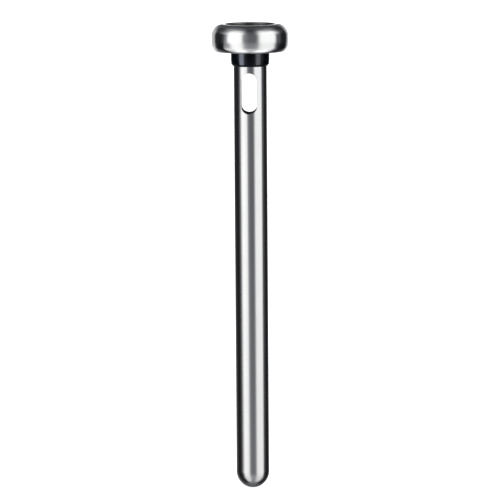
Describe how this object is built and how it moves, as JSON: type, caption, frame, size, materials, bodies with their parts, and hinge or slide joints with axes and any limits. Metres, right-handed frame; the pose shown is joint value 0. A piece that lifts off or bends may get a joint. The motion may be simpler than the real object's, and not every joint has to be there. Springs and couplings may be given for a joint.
{
  "type": "bottle chilling rod with pouring head",
  "caption": "Slim steel tube with a rounded tip, filled with freezing gel, that hangs in a wine bottle from a collar and pours through slots and a ring-shaped screw-on head.",
  "frame": {"origin": "on the rod's axis, in the plane of the head's flat underside, which rests on the bottle's lip", "axes": "+Z along the rod's axis, up towards the pouring head; the two wine slots face -Y and +Y"},
  "size_m": [0.04, 0.04, 0.2437],
  "materials": {
    "rod_steel": "fine brushed stainless steel",
    "head_steel": "circumferentially brushed stainless steel, half polished",
    "cup_steel": "spun stainless steel, satin",
    "turned_steel": "turned stainless steel with fine tool marks",
    "black_silicone": "satin black food-grade silicone",
    "black_moulded": "fine-textured black moulded plastic",
    "freezing_gel": "translucent blue gel"
  },
  "bodies": {
    "rod": {"rod_tube": "rod_steel", "stopper_collar": "black_silicone", "chamber_plug": "black_moulded", "plug_seal_ring": "black_silicone", "cooling_gel_core": "freezing_gel", "neck_bush": "turned_steel"},
    "gasket": {"neck_gasket": "black_silicone"},
    "head": {"head_shell": "head_steel", "head_base_ring": "head_steel", "head_core": "black_moulded", "pour_cup": "cup_steel", "threaded_spigot": "turned_steel"}
  },
  "joints": [
    {"name": "head_lift", "type": "slide", "parent": "rod", "child": "gasket", "axis": [0, 0, 1], "range_m": [0, 0.006]},
    {"name": "head_unscrew", "type": "hinge", "parent": "gasket", "child": "head", "pos_m": [0, 0, 0], "axis": [0, 0, 1], "range_deg": [0, 1080]}
  ],
  "couplings": [
    {"joint": "head_lift", "follows": "head_unscrew", "m_per_rad": 0.0003183}
  ]
}
